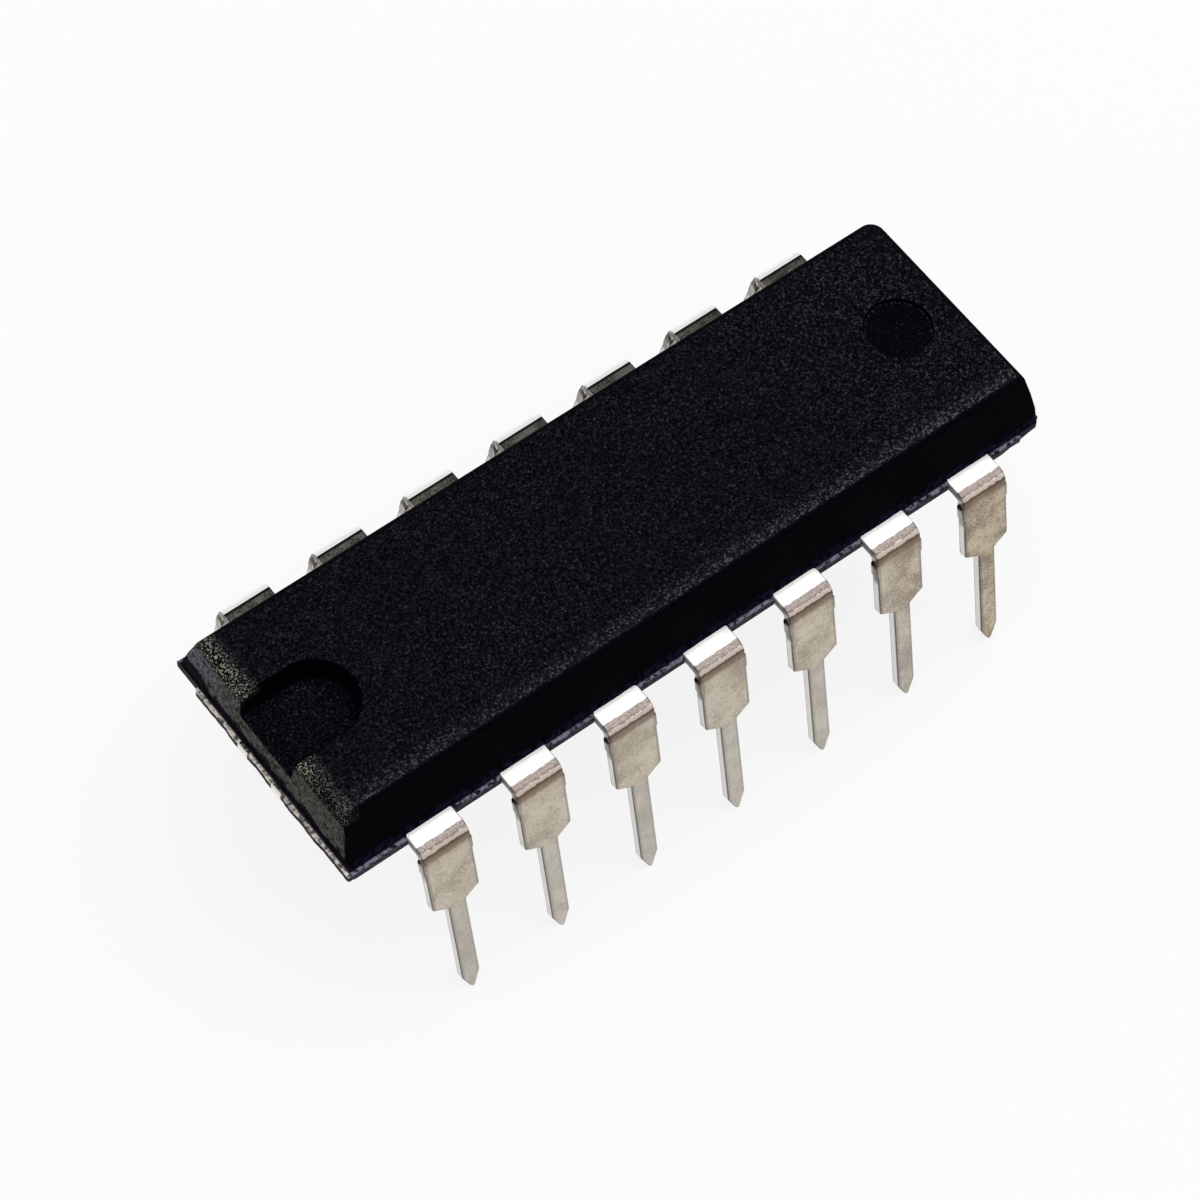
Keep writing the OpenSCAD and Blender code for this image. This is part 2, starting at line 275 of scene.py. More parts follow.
def soft_lamp(name, azimuth, elevation, width, brightness):
    """A square lamp, aimed at the chip. Its brightness is what a mirror would show of it, white being 1."""
    data = bpy.data.lights.new(name, "AREA")
    data.size = width
    data.energy = brightness * math.pi * width**2
    lamp = bpy.data.objects.new(name, data)
    side = direction(math.radians(azimuth), math.radians(elevation))
    lamp.location = side * LAMP_DISTANCE
    lamp.rotation_mode = "QUATERNION"
    lamp.rotation_quaternion = aimed_turn(side)
    lamp.visible_camera = False
    bpy.context.scene.collection.objects.link(lamp)
    print("lamp", name, "gives", round(data.energy, 3), "watts")


make_world()
soft_lamp("lamp_above", azimuth=287, elevation=70, width=340 * MM, brightness=1.7)
soft_lamp("lamp_left", azimuth=96, elevation=30, width=140 * MM, brightness=1.5)

# %% [markdown]
# The finishes below change at certain levels and places of the chip, so those come first. The levels are
# read from the packed model. The sizes of a lead and of the marks are the ones that it was modelled with.

# %% Levels and sizes of the body
FLASH = 0.09
END_LAND = 0.4
EDGE_R = 0.2
EJECTOR_R = 0.81
EJECTOR_IN = 1.7
body_low, body_high = (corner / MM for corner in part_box("moulded_body"))
BODY_TOP = body_high.z
BODY_UNDER = body_low.z
END_X = body_high.x - FLASH
SIDE_Y = body_high.y - FLASH
MARK_X = END_X - EJECTOR_IN
print("body ends at", round(END_X, 3), "and its sides at", round(SIDE_Y, 3))

# %% [markdown]
# The bend is worked out from the span of the rows, the lean of the legs and the radius inside the bend. Its
# tangent is how far before the corner the strip starts to turn.

# %% Levels and sizes of the leads
LEADS_PER_ROW = 7
PITCH = 2.54
ROW_SPAN = 7.66
STRIP_T = 0.25
SHOULDER_W = 1.26
PIN_W = 0.47
LEG_LEAN = math.radians(11.6)
BEND_R = 0.05
LEAD_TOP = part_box("lead_4")[1].z / MM
HALF_THICK = BODY_TOP - LEAD_TOP

BEND_OUT_R = BEND_R + STRIP_T
BEND_TURN = math.pi / 2 - LEG_LEAN
BEND_TANGENT = BEND_OUT_R * math.tan(BEND_TURN / 2)
BEND_Y = ROW_SPAN / 2 - BEND_TANGENT
BEND_LEN = BEND_OUT_R * BEND_TURN
print("lead tops at", round(LEAD_TOP, 3), "and the bends start at", round(BEND_Y, 3))

# %% [markdown]
# The finish of the plastic differs from place to place, so it first has to know where on the body a spot
# lies. Vertex colours could say so, but they would be only as fine as the mesh. Here each zone is a share
# worked out from the place itself, 0 at the first value of its pair, 1 at the second, and soft between them.

# %% Zones of the body
TOP_LEVELS = (BODY_TOP - 0.30, BODY_TOP - 0.12)
NOTCH_LEVELS = (BODY_TOP - 0.30, BODY_TOP - 0.45)
NOTCHED_END = (-END_X + 0.75, -END_X + 0.20)
FAR_HALF = (0.0, END_X - 1.0)
FRONT_RIM = (-2.05, -2.60)
IN_MARK = (EJECTOR_R - 0.02, EJECTOR_R - 0.12)
MARK_RIM = (0.09, 0.02)
WALL_FACING = (0.985, 0.93)
END_FACING = (0.6, 0.85)


def body_zones(net):
    """Shares that say on which part of the body a spot lies, and two distances in millimetres."""
    facing_x, _, facing_z = net.facing()
    on_top = net.band(net.z, *TOP_LEVELS)
    level = net.add("ShaderNodeVectorMath", {"operation": "MULTIPLY"}, at={0: net.place, 1: (1, 1, 0)})
    from_mark = net.add(
        "ShaderNodeVectorMath", {"operation": "DISTANCE"}, at={0: level.outputs[0], 1: (MARK_X, 0, 0)}
    ).outputs["Value"]
    return SimpleNamespace(
        near_notch=net.times(on_top, net.band(net.x, *NOTCHED_END)),
        far_half=net.times(on_top, net.band(net.x, *FAR_HALF)),
        front_rim=net.times(on_top, net.band(net.y, *FRONT_RIM)),
        in_mark=net.times(on_top, net.band(from_mark, *IN_MARK)),
        mark_rim=net.times(on_top, net.band(net.off(from_mark, EJECTOR_R), *MARK_RIM)),
        in_notch=net.band(net.z, *NOTCH_LEVELS),
        on_wall=net.band(facing_z, *WALL_FACING),
        end_facing=net.band(net.unsigned(facing_x), *END_FACING),
        across=net.unsigned(net.x),
        off_line=net.off(net.z, LEAD_TOP - STRIP_T / 2),
    )


print("the ejector mark is", round(MARK_X, 3), "from the middle")

# %% [markdown]
# The end faces carry painted light, grey green and greyer towards the back. It ends in a ragged edge just
# above the dark land of each end. The flash round the mould line is thin, and the light that it catches is
# painted: grey purple along the sides, and almost white on top at the ends, with painted shade at its root
# and along its outer rim.

# %% Painted light on the end faces, and the flash
# Painted light on the end faces, darker and lighter, at the front and at the back
END_LIGHT_FRONT = ((0.014, 0.016, 0.013), (0.105, 0.110, 0.098))
END_LIGHT_BACK = ((0.020, 0.014, 0.030), (0.165, 0.166, 0.172))
# The light flash colours are a painted highlight, and the roots and rims are painted shade
SIDE_FLASH = ((0.008, 0.007, 0.014), (0.150, 0.140, 0.185))
SIDE_FLASH_ROOT = (0.004, 0.003, 0.008)
SIDE_FLASH_RIM = (0.026, 0.023, 0.032)
END_FLASH = ((0.080, 0.070, 0.060), (0.60, 0.56, 0.51))
END_FLASH_ROOT = (0.040, 0.036, 0.034)
END_FLASH_RIM = (0.030, 0.027, 0.027)


def end_painted_light(net, zone, fine, middle):
    """How much painted light an end face gets, and the colour of that painted light there."""
    backward = net.band(net.y, 0.8, 3.0)
    uneven = net.swing(net.grain(2.2, detail=4.0, roughness=0.75), 1.0)
    height = net.plus(net.minus(net.z, net.times(backward, 0.22)), uneven)
    above_land = net.band(height, LEAD_TOP + END_LAND - 0.04, LEAD_TOP + END_LAND + 0.10)
    below_edge = net.band(net.z, BODY_TOP - 0.20, BODY_TOP - 0.26)
    share = net.times(zone.end_facing, net.times(above_land, below_edge))
    share = net.times(share, net.band(zone.across, END_X - 0.24, END_X - 0.20))
    dark, light = (net.mix(backward, front, back) for front, back in zip(END_LIGHT_FRONT, END_LIGHT_BACK))
    patchy = net.times(net.ramp(fine, 0.38, 3.6), net.band(middle, 0.30, 0.55))
    return share, net.mix(patchy, dark, light)


def flash_colour(net, zone):
    """Painted highlight and shade: grey purple with a dark root along the sides, and at the ends a light top
    with a dark rim.
    """
    specks = net.grain(9.0, detail=3.0)
    rim = net.band(net.z, LEAD_TOP - 0.030, LEAD_TOP - 0.070)
    side_root = net.band(net.unsigned(net.y), SIDE_Y + 0.045, SIDE_Y + 0.015)
    side = net.mix(net.band(specks, 0.36, 0.60), *SIDE_FLASH)
    side = net.mix(side_root, side, SIDE_FLASH_ROOT)
    side = net.mix(net.times(rim, 0.8), side, SIDE_FLASH_RIM)
    end_outer = net.band(zone.across, END_X + 0.005, END_X + 0.05)
    end = net.mix(net.band(specks, 0.38, 0.62), *END_FLASH)
    end = net.mix(end_outer, END_FLASH_ROOT, end)
    end = net.mix(rim, end, END_FLASH_RIM)
    return net.mix(net.band(zone.across, END_X - 0.02, END_X + 0.02), side, end)


# %% [markdown]
# The mould leaves a fine spark-eroded grain all over the plastic, so the compound is almost black with
# lighter grains in it. There are more of them towards both ends, and hardly any in the ejector mark, which a
# polished pin made. Along the front rim of the top face the grains are denser and lighter as a painted
# highlight, and near the notched end the extra grains and the bright specks are partly grain and partly a
# painted highlight. The round edges and the sides are darker with painted shade, and have fewer grains, and
# the floor of the notch is a little darker with painted shade.

# %% Grain of the plastic
GROUND = (0.0005, 0.0005, 0.0014)
# Painted shade on the walls and in the notch, and the ejector mark's own darker tone
SHADED = (0.0005, 0.0004, 0.0012)
# Each pair: the grain, then the same grain lighter along the front rim, which is a painted highlight
FINE_GRAIN = ((0.0080, 0.0080, 0.0120), (0.0165, 0.0162, 0.0205))
LIGHT_GRAIN = ((0.034, 0.034, 0.041), (0.060, 0.060, 0.066))
# Specks near the notch: partly grain, partly a painted highlight
NOTCH_SPECKS = (0.30, 0.30, 0.245)
GRAIN_CUT = 0.615
GRAIN_STEEPNESS = 9.0


def grain_cover(net, zone, fine):
    """Share of the lighter grains at a spot: a zone with a minus has more of them, one with a plus fewer."""
    broad = net.grain(0.45, detail=2.0)
    # More grains along the front rim are a painted highlight, near the notch partly so, and the walls get
    # fewer
    steps = [
        (zone.near_notch, -0.05), (zone.far_half, -0.035), (zone.front_rim, -0.065), (zone.mark_rim, -0.05),
        (zone.in_mark, 0.07), (zone.on_wall, 0.20), (net.minus(broad, 0.5), -0.10),
    ]
    cut = GRAIN_CUT
    for share, amount in steps:
        cut = net.plus(cut, net.times(share, amount))
    return net.ramp(fine, cut, GRAIN_STEEPNESS)


def grainy_black(net, zone, fine):
    """Almost black, with a fine bluish grain all over, lighter grains, and specks near the notch that are
    partly painted highlight; a painted highlight along the front rim, and painted shade on the walls and in
    the notch.
    """
    # Along the front rim the grain is lighter, a painted highlight
    tint = net.mix(net.band(fine, 0.40, 0.68), GROUND, net.mix(zone.front_rim, *FINE_GRAIN))
    # Painted shade on all that does not face up and in the notch; the ejector mark is darker in its own tone
    dark = net.times(zone.in_notch, 0.30)
    dark = net.larger(dark, net.times(zone.in_mark, 0.85))
    dark = net.larger(dark, net.times(zone.on_wall, 0.92))
    tint = net.mix(dark, tint, SHADED)
    colour = net.mix(grain_cover(net, zone, fine), tint, net.mix(zone.front_rim, *LIGHT_GRAIN))
    # Bright specks near the notch, partly grain and partly a painted highlight
    bright = net.band(net.grain(24.0, detail=2.0, roughness=0.6), 0.50, 0.68)
    fewer = net.blend(net.band(net.y, -0.9, -2.2), 1.0, 0.30)
    return net.mix(net.times(net.times(bright, zone.near_notch), fewer), colour, NOTCH_SPECKS)


# %% [markdown]
# The layers come together here: the grainy black, a violet tinge beside the mould line, the painted light of
# the end faces, and the flash with its painted highlight and shade. Each lies over the one before it. The
# plastic hardly shines, because the grain scatters the light, and the relief of that grain is a hundredth of
# a millimetre, far too fine for the mesh, so it is a bump.

# %% Moulding compound
VIOLET = (0.010, 0.006, 0.022)


def moulding_compound():
    net = Network("moulding_compound")
    zone = body_zones(net)
    fine = net.grain(17.0, detail=3.0, roughness=0.65)
    middle = net.grain(6.0, detail=2.0)
    colour = grainy_black(net, zone, fine)

    # The violet stays close above and below the mould line
    violet = net.times(net.band(zone.off_line, 0.42, 0.16), net.band(middle, 0.40, 0.60))
    colour = net.mix(net.times(violet, 0.8), colour, VIOLET)
    # Painted light on the end faces
    end_lit, end_light = end_painted_light(net, zone, fine, middle)
    colour = net.mix(end_lit, colour, end_light)
    # The flash, with its painted highlight and shade
    in_flash = net.band(zone.off_line, STRIP_T / 2 + 0.03, STRIP_T / 2 + 0.005)
    colour = net.mix(in_flash, colour, flash_colour(net, zone))

    # The top is rubbed a little smoother along its front rim, so it shines more there
    rubbed = net.times(zone.front_rim, net.minus(1.0, zone.on_wall))
    shine = net.blend(rubbed, 0.010, 0.030)
    rough = net.blend(rubbed, net.blend(net.grain(3.0), 0.50, 0.68), 0.45)
    relief = net.bump(fine, 0.010, Normal=net.bump(middle, 0.010))
    return net.finish(Base_Color=colour, Roughness=rough, Specular_IOR_Level=shine, Normal=relief)


COMPOUND = moulding_compound()

# %% [markdown]
# The leads are dipped in molten tin after they are cut and bent. The tin dries matte, with faint streaks and
# mottled patches. The legs of the front row are browner towards the far end, and the pins a little greyer.

# %% Places on a lead and the tin of a leg
PALE_TIN = ((0.600, 0.535, 0.445), (0.560, 0.475, 0.360))
DULL_TIN = ((0.35, 0.30, 0.235), (0.22, 0.175, 0.12))
BORDER = (0.20, 0.185, 0.165)
GREYER_TIN = (0.50, 0.50, 0.495)


def lead_places(net):
    """Three grains of the tin, and where on a lead a spot lies, in millimetres."""
    patches = net.grain(1.6, detail=4.0, roughness=0.6)
    streaks = net.grain(9.0, detail=3.0, stretch=(1.0, 1.0, 0.25))
    fine = net.grain(24.0, detail=2.0)
    below = net.minus(LEAD_TOP, net.z)
    in_pitch = net.math("FRACT", net.plus(net.math("DIVIDE", net.x, PITCH), 0.5))
    return SimpleNamespace(
        patches=patches,
        streaks=streaks,
        fine=fine,
        cloudy=net.plus(patches, net.swing(fine, 0.8)),
        below=below,
        wavy=net.plus(below, net.swing(streaks, 0.07)),
        past_bend=net.minus(net.unsigned(net.y), BEND_Y),
        from_middle=net.times(net.off(in_pitch, 0.5), PITCH),
        sideways=net.unsigned(net.facing()[0]),
        front_row=net.band(net.y, 0.0, -1.0),
    )


def leg_tin(net, spot):
    """Clouded tin with a dull border along both edges."""
    worn = net.times(net.band(net.x, 3.5, 7.0), spot.front_row)
    tin = net.mix(net.band(spot.cloudy, 0.28, 0.72), net.mix(worn, *DULL_TIN), net.mix(worn, *PALE_TIN))
    half_width = net.blend(net.band(spot.below, 2.02, 2.27), SHOULDER_W / 2, PIN_W / 2)
    border = net.band(net.minus(half_width, spot.from_middle), 0.095, 0.055)
    tin = net.mix(net.times(border, 0.50), tin, BORDER)
    greyer = net.times(net.band(spot.below, 2.1, 2.6), net.minus(1.0, worn))
    return net.mix(net.times(greyer, 0.35), tin, GREYER_TIN)


# %% [markdown]
# Down from the white flat top the bend shows a pinkish speckled band, a bright tan line, a brown line, and a
# brown shade that fades into the leg. These bands are painted reflection: the darker ones stand for the dim
# surroundings that the curve mirrors, and the tan line is a painted highlight. The bands are laid on from the
# bottom up, so that each covers the end of the one below it.

# %% Bands of painted reflection in the bend
# Painted reflection: darker bands for the dim surroundings that the bend mirrors, a bright tan line as
# painted highlight
BEND_BANDS = [
    {"start": 0.95, "full": 0.45, "share": 0.14, "colour": (0.17, 0.115, 0.075)},
    {"start": 0.46, "full": 0.29, "share": 0.70, "colour": (0.130, 0.076, 0.046)},
    {"start": 0.23, "full": 0.17, "share": 0.65, "colour": (0.110, 0.068, 0.045)},
    {"start": 0.138, "full": 0.118, "share": 1.0, "colour": (0.66, 0.56, 0.485)},
]
SPECKLED = ((0.130, 0.106, 0.099), (0.275, 0.236, 0.217))
# Flat tops painted white, a painted highlight
FLAT_WHITE = (0.88, 0.87, 0.85)


def bend_painted_reflection(net, spot, tin):
    for band in BEND_BANDS:
        share = net.times(net.band(spot.wavy, band["start"], band["full"]), band["share"])
        tin = net.mix(share, tin, band["colour"])
    speckled = net.mix(net.band(spot.fine, 0.25, 0.75), *SPECKLED)
    return net.mix(net.band(spot.wavy, 0.066, 0.050), tin, speckled)


def white_flat_share(net, spot):
    """1 on the flat tops, which are painted white as a highlight, up to a slightly uneven line where the bend
    starts.
    """
    return net.band(net.plus(spot.past_bend, net.swing(spot.streaks, 0.06)), 0.025, -0.025)


# The layers on the bend are painted reflection
print("layers of stain on the bend:", len(BEND_BANDS) + 1)

# %% [markdown]
# The back row shows only its bends. Its flats are dark olive, with a black line of painted shade along the
# fold, and past it a bright bend that is a painted highlight.

# %% Back row: dark flats, painted shade on the fold, painted highlight on the bend
BACK_FLAT_OLIVE = ((0.014, 0.014, 0.011), (0.070, 0.070, 0.060))
FOLD_BLACK = (0.010, 0.009, 0.008)
BRIGHT_BEND = (0.97, 0.97, 0.97)


def back_row_flats_and_fold(net, spot, tin):
    past_line = net.band(net.y, BEND_Y + 0.05, BEND_Y + 0.065)
    # Painted highlight on the bend past the line
    tin = net.mix(net.times(net.band(spot.below, 0.20, 0.12), past_line), tin, BRIGHT_BEND)
    flat = net.times(net.band(spot.below, 0.02, 0.01), net.band(net.y, 0.0, 1.0))
    before_line = net.band(net.y, BEND_Y + 0.06, BEND_Y + 0.04)
    olive_flat = net.mix(net.band(spot.cloudy, 0.3, 0.7), *BACK_FLAT_OLIVE)
    tin = net.mix(net.times(flat, before_line), tin, olive_flat)
    # Painted shade along the fold
    on_fold = net.band(net.off(net.y, BEND_Y + 0.02), 0.04, 0.03)
    return net.mix(net.times(flat, on_fold), tin, FOLD_BLACK)


# %% [markdown]
# The sides of a lead were sheared. They are dull beside the bend and bright below, between thin dark edges
# that are painted shade on the rounded edges.
# A black spot shows where the bar between the leads was cut, and it crosses the side on a slant.

# %% Sheared sides and the cut bar
SHEARED = ((0.17, 0.155, 0.14), (0.38, 0.355, 0.33))
SHEARED_INNER = (0.56, 0.53, 0.50)
SHEARED_BEND = (0.13, 0.12, 0.115)
SHEARED_BELOW = (0.70, 0.675, 0.65)
DARK_EDGE = (0.085, 0.072, 0.062)
CUT_BLACK = (0.012, 0.010, 0.012)
CUT_LINE = 0.59
CUT_HALF = 0.09
CUT_SOFT = 0.02
CUT_SLANT = 1.5


def behind_face(net, spot):
    """Depth behind the outer face of the leg, in millimetres."""
    face = net.plus(net.times(spot.below, math.tan(LEG_LEAN)), BEND_TANGENT)
    return net.minus(face, spot.past_bend)


def sheared_sides(net, spot, tin):
    sheared = net.mix(net.band(net.grain(0.5), 0.42, 0.58), *SHEARED)
    sheared = net.mix(net.band(behind_face(net, spot), 0.13, 0.22), sheared, SHEARED_INNER)
    sheared = net.mix(net.band(net.plus(spot.below, spot.past_bend), 0.34, 0.22), sheared, SHEARED_BEND)
    sheared = net.mix(net.band(spot.wavy, 0.90, 1.05), sheared, SHEARED_BELOW)
    tin = net.mix(net.band(spot.sideways, 0.970, 0.985), tin, sheared)
    # Painted shade along the rounded edges of the strip
    edge = net.times(net.band(spot.sideways, 0.40, 0.60), net.band(spot.sideways, 0.985, 0.970))
    return net.mix(net.times(edge, 0.72), tin, DARK_EDGE)


def cut_bar(net, spot, tin):
    from_cut = net.off(net.plus(spot.below, net.times(spot.past_bend, CUT_SLANT)), CUT_LINE)
    in_cut = net.band(from_cut, CUT_HALF + CUT_SOFT, CUT_HALF - CUT_SOFT)
    share = net.times(net.band(spot.sideways, 0.5, 0.8), in_cut)
    strength = net.blend(net.band(behind_face(net, spot), 0.0, 0.15), 0.65, 0.97)
    return net.mix(net.times(share, strength), tin, CUT_BLACK)


print("the cut spot is", round(2 * CUT_HALF, 2), "high")

# %% [markdown]
# Each layer of the tin covers the one before it: the leg, the painted reflections of the bend, the flats
# painted white as a highlight, the dark back flats with their painted shade and highlight, the sheared sides
# with painted shade on their edges, and the cut. One material does for all leads, because it works out the
# distance from the middle of a lead with the fraction of the pitch.

# %% Tinned lead


def tinned_lead():
    net = Network("tinned_lead")
    spot = lead_places(net)
    white_flat = white_flat_share(net, spot)
    tin = bend_painted_reflection(net, spot, leg_tin(net, spot))
    # Flat tops painted white as a highlight
    tin = net.mix(white_flat, tin, FLAT_WHITE)
    tin = back_row_flats_and_fold(net, spot, tin)
    tin = sheared_sides(net, spot, tin)
    tin = cut_bar(net, spot, tin)

    # The front row's flats are painted white as a highlight and kept matte, so the dark body beside them
    # hardly shows in them
    metal = net.blend(net.times(white_flat, spot.front_row), 1.0, 0.35)
    rough = net.blend(spot.patches, 0.24, 0.42)
    relief = net.bump(spot.patches, 0.010)
    relief = net.bump(spot.streaks, 0.003, Normal=relief)
    relief = net.bump(spot.fine, 0.0015, Normal=relief)
    return net.finish(Base_Color=tin, Metallic=metal, Roughness=rough, Normal=relief)


TIN = tinned_lead()

# %% [markdown]
# Four more finishes belong to pieces inside the plastic: the copper pad, whose tinned bar ends show at both
# ends of the body, the silver filled glue, the silicon die with its metal pattern, and the gold wires.

# %% Finishes of the inner pieces


def copper_pad():
    net = Network("copper_pad")
    rolled = net.grain(4.0, detail=3.0, stretch=(0.15, 1.0, 1.0))
    copper = net.mix(rolled, (0.62, 0.27, 0.15), (0.80, 0.42, 0.26))
    outside = net.band(net.unsigned(net.x), END_X - 0.02, END_X + 0.02)
    colour = net.mix(outside, copper, (0.86, 0.83, 0.78))
    rough = net.blend(rolled, 0.25, 0.42)
    return net.finish(Base_Color=colour, Metallic=1.0, Roughness=rough, Normal=net.bump(rolled, 0.002))


def silver_epoxy():
    net = Network("silver_epoxy")
    flakes = net.grain(30.0, detail=2.0)
    colour = net.mix(flakes, (0.42, 0.42, 0.41), (0.72, 0.72, 0.70))
    rough = net.blend(flakes, 0.35, 0.6)
    return net.finish(Base_Color=colour, Metallic=0.6, Roughness=rough, Normal=net.bump(flakes, 0.002))


def silicon():
    net = Network("silicon")
    blocks = net.add(
        "ShaderNodeTexVoronoi", {"distance": "CHEBYCHEV"}, Vector=net.place, Scale=9.0, Randomness=0.4
    )
    tone = net.add("ShaderNodeSeparateColor", Color=blocks.outputs["Color"]).outputs[0]
    colour = net.mix(tone, (0.10, 0.12, 0.17), (0.34, 0.40, 0.50))
    rough = net.blend(tone, 0.12, 0.3)
    return net.finish(Base_Color=colour, Metallic=0.7, Roughness=rough, Normal=net.bump(tone, 0.001))


def gold_wire():
    net = Network("gold_wire")
    drawn = net.grain(40.0, detail=2.0)
    colour = net.mix(drawn, (0.93, 0.62, 0.24), (1.0, 0.76, 0.36))
    rough = net.blend(drawn, 0.16, 0.28)
    return net.finish(Base_Color=colour, Metallic=1.0, Roughness=rough, Normal=net.bump(drawn, 0.0004))


# %% [markdown]
# The packed shapes of the inner pieces are right as they are, so they only get their finish.

# %% Dress the inner pieces
INNER_FINISHES = {
    "die_pad": copper_pad(), "die_attach": silver_epoxy(), "silicon_die": silicon(), "bond_wire": gold_wire(),
}
dressed = []
for node_name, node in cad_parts.items():
    for start_of_name, finish in INNER_FINISHES.items():
        if node_name.startswith(start_of_name):
            node.data.materials.clear()
            node.data.materials.append(finish)
            dressed.append(node_name)
print("inner pieces dressed:", len(dressed))

# %% [markdown]
# The body is a stack of rectangular outlines with round corners, so it is drawn from the profiles of its
# walls. The long sides lean in more than the ends of the upper half do, which also have an upright land, and
# the edges of the top and the underside are round.

# %% Profile of a wall
SIDE_INSET = 0.48
END_INSET = 0.2
UNDER_END_INSET = 0.44
FIRST_RISE = 0.3
EDGE_STEPS = 6


def wall_profile(inset, land):
    """Inward step and height above the mould line, from the land up to the flat face."""
    lean = math.atan2(inset, HALF_THICK - land)
    turn = math.pi / 2 - lean
    tangent = EDGE_R * math.tan(turn / 2)
    lean_top = HALF_THICK - tangent * math.cos(lean)
    foot = (0.0, land) if land else (FIRST_RISE * inset / HALF_THICK, FIRST_RISE)
    halfway = ((lean_top - land) / 2 * math.tan(lean), (lean_top + land) / 2)
    points = [(0.0, 0.0), foot, halfway]
    centre_in = inset + tangent
    for step in range(EDGE_STEPS + 1):
        angle = lean + turn * step / EDGE_STEPS
        points.append((centre_in - EDGE_R * math.cos(angle), HALF_THICK - EDGE_R + EDGE_R * math.sin(angle)))
    return points


print("points in a profile:", len(wall_profile(SIDE_INSET, 0)))

# %% [markdown]
# Every outline has the same number of points, so neighbouring ones join into clean quads. The corner beside
# lead 8 is broken off the upper half of the body, and a larger corner radius stands for the break.

# %% One outline
CORNER_R = 0.07
BROKEN_CORNER_R = 0.34
CORNER_STEPS = 6
POINT_STEP = 0.08
CORNER_SIGNS = [(1, 1), (-1, 1), (-1, -1), (1, -1)]


def outline(end_in, side_in, end_z, side_z, radius, broken_radius):
    """Points round the body at one step of the two profiles, from the back of the +X end and round."""
    half_x, half_y = END_X - end_in, SIDE_Y - side_in
    radii = [broken_radius, radius, radius, radius]
    centres = [Vector((sx * (half_x - r), sy * (half_y - r))) for (sx, sy), r in zip(CORNER_SIGNS, radii)]
    points = []
    for index, (sx, sy) in enumerate(CORNER_SIGNS):
        centre, following = centres[index], centres[(index + 1) % 4]
        along_side = index % 2 == 0
        for step in range(CORNER_STEPS + 1):
            turn = math.pi / 2 * (index + step / CORNER_STEPS)
            share = step / CORNER_STEPS if along_side else 1 - step / CORNER_STEPS
            spot = centre + radii[index] * Vector((math.cos(turn), math.sin(turn)))
            points.append((spot.x, spot.y, end_z + (side_z - end_z) * share))
        if along_side:
            ends = Vector((centre.x, sy * half_y)), Vector((following.x, sy * half_y))
            count, level = round(2 * END_X / POINT_STEP), side_z
        else:
            ends = Vector((sx * half_x, centre.y)), Vector((sx * half_x, following.y))
            count, level = round(2 * SIDE_Y / POINT_STEP), end_z
        for step in range(1, count):
            spot = ends[0].lerp(ends[1], step / count)
            points.append((spot.x, spot.y, level))
    return points


print("points in an outline:", len(outline(0, 0, 0, 0, CORNER_R, CORNER_R)))

# %% [markdown]
# The flash is plastic that crept between the halves of the mould. It is four more outlines at the mould
# line, pulled in by a little noise so that the edge is ragged. It stops at the leads, and at two opposite
# corners it is broken away, so there the outlines stay close to the body's own wall.

# %% Ragged flash
FLASH_EDGE = 0.02
FLASH_CORNER_R = 0.03
FLASH_RAGGED = 0.03
FLASH_LEFT = 0.006
FLASH_TIP = 0.1
SIDE_FLASH_GAP = 0.58
END_FLASH_GAP = 0.72
WAVES_PER_MM = 2.2
CHIPS_PER_MM = 7.0
WAVES_SLICE = 5.0
CHIPS_SLICE = 9.0


def flash_pull(x, y):
    """How far the edge is pulled in at a spot: waves with smaller chips on them."""
    waves = noise.noise(Vector((x * WAVES_PER_MM, y * WAVES_PER_MM, WAVES_SLICE)))
    chips = noise.noise(Vector((x * CHIPS_PER_MM, y * CHIPS_PER_MM, CHIPS_SLICE)))
    return min(0.0, FLASH_RAGGED * (waves + 0.5 * chips - 0.5))


def from_nearest_lead(x):
    last = LEADS_PER_ROW // 2
    return abs(x - PITCH * max(-last, min(last, round(x / PITCH))))


def ragged(points):
    """The flash outline with its edge pulled in, cut back at the leads and at two broken corners."""
    moved = []
    for x, y, z in points:
        pull = flash_pull(x, y)
        if abs(x) / END_X > abs(y) / SIDE_Y:
            x += math.copysign(pull, x)
        else:
            y += math.copysign(pull, y)
        if x > END_X - SIDE_FLASH_GAP and y < 0:
            y = max(y, -SIDE_Y - FLASH_LEFT if x < END_X else FLASH_TIP - SIDE_Y)
        if y > SIDE_Y - END_FLASH_GAP and x < 0:
            x = max(x, -END_X - FLASH_LEFT)
        if from_nearest_lead(x) < SHOULDER_W / 2 and abs(y) > SIDE_Y:
            y = math.copysign(SIDE_Y + FLASH_LEFT, y)
        moved.append((x, y, z))
    return moved


print("flash pulled in at the middle of the front:", round(-flash_pull(0, -SIDE_Y), 3))

# %% [markdown]
# From the top face down come the upper walls, the four outlines of the flash, and the lower walls. The
# flash could be a piece of its own, but on the real body it is one with the plastic, so it shares the skin.

# %% Stack of outlines


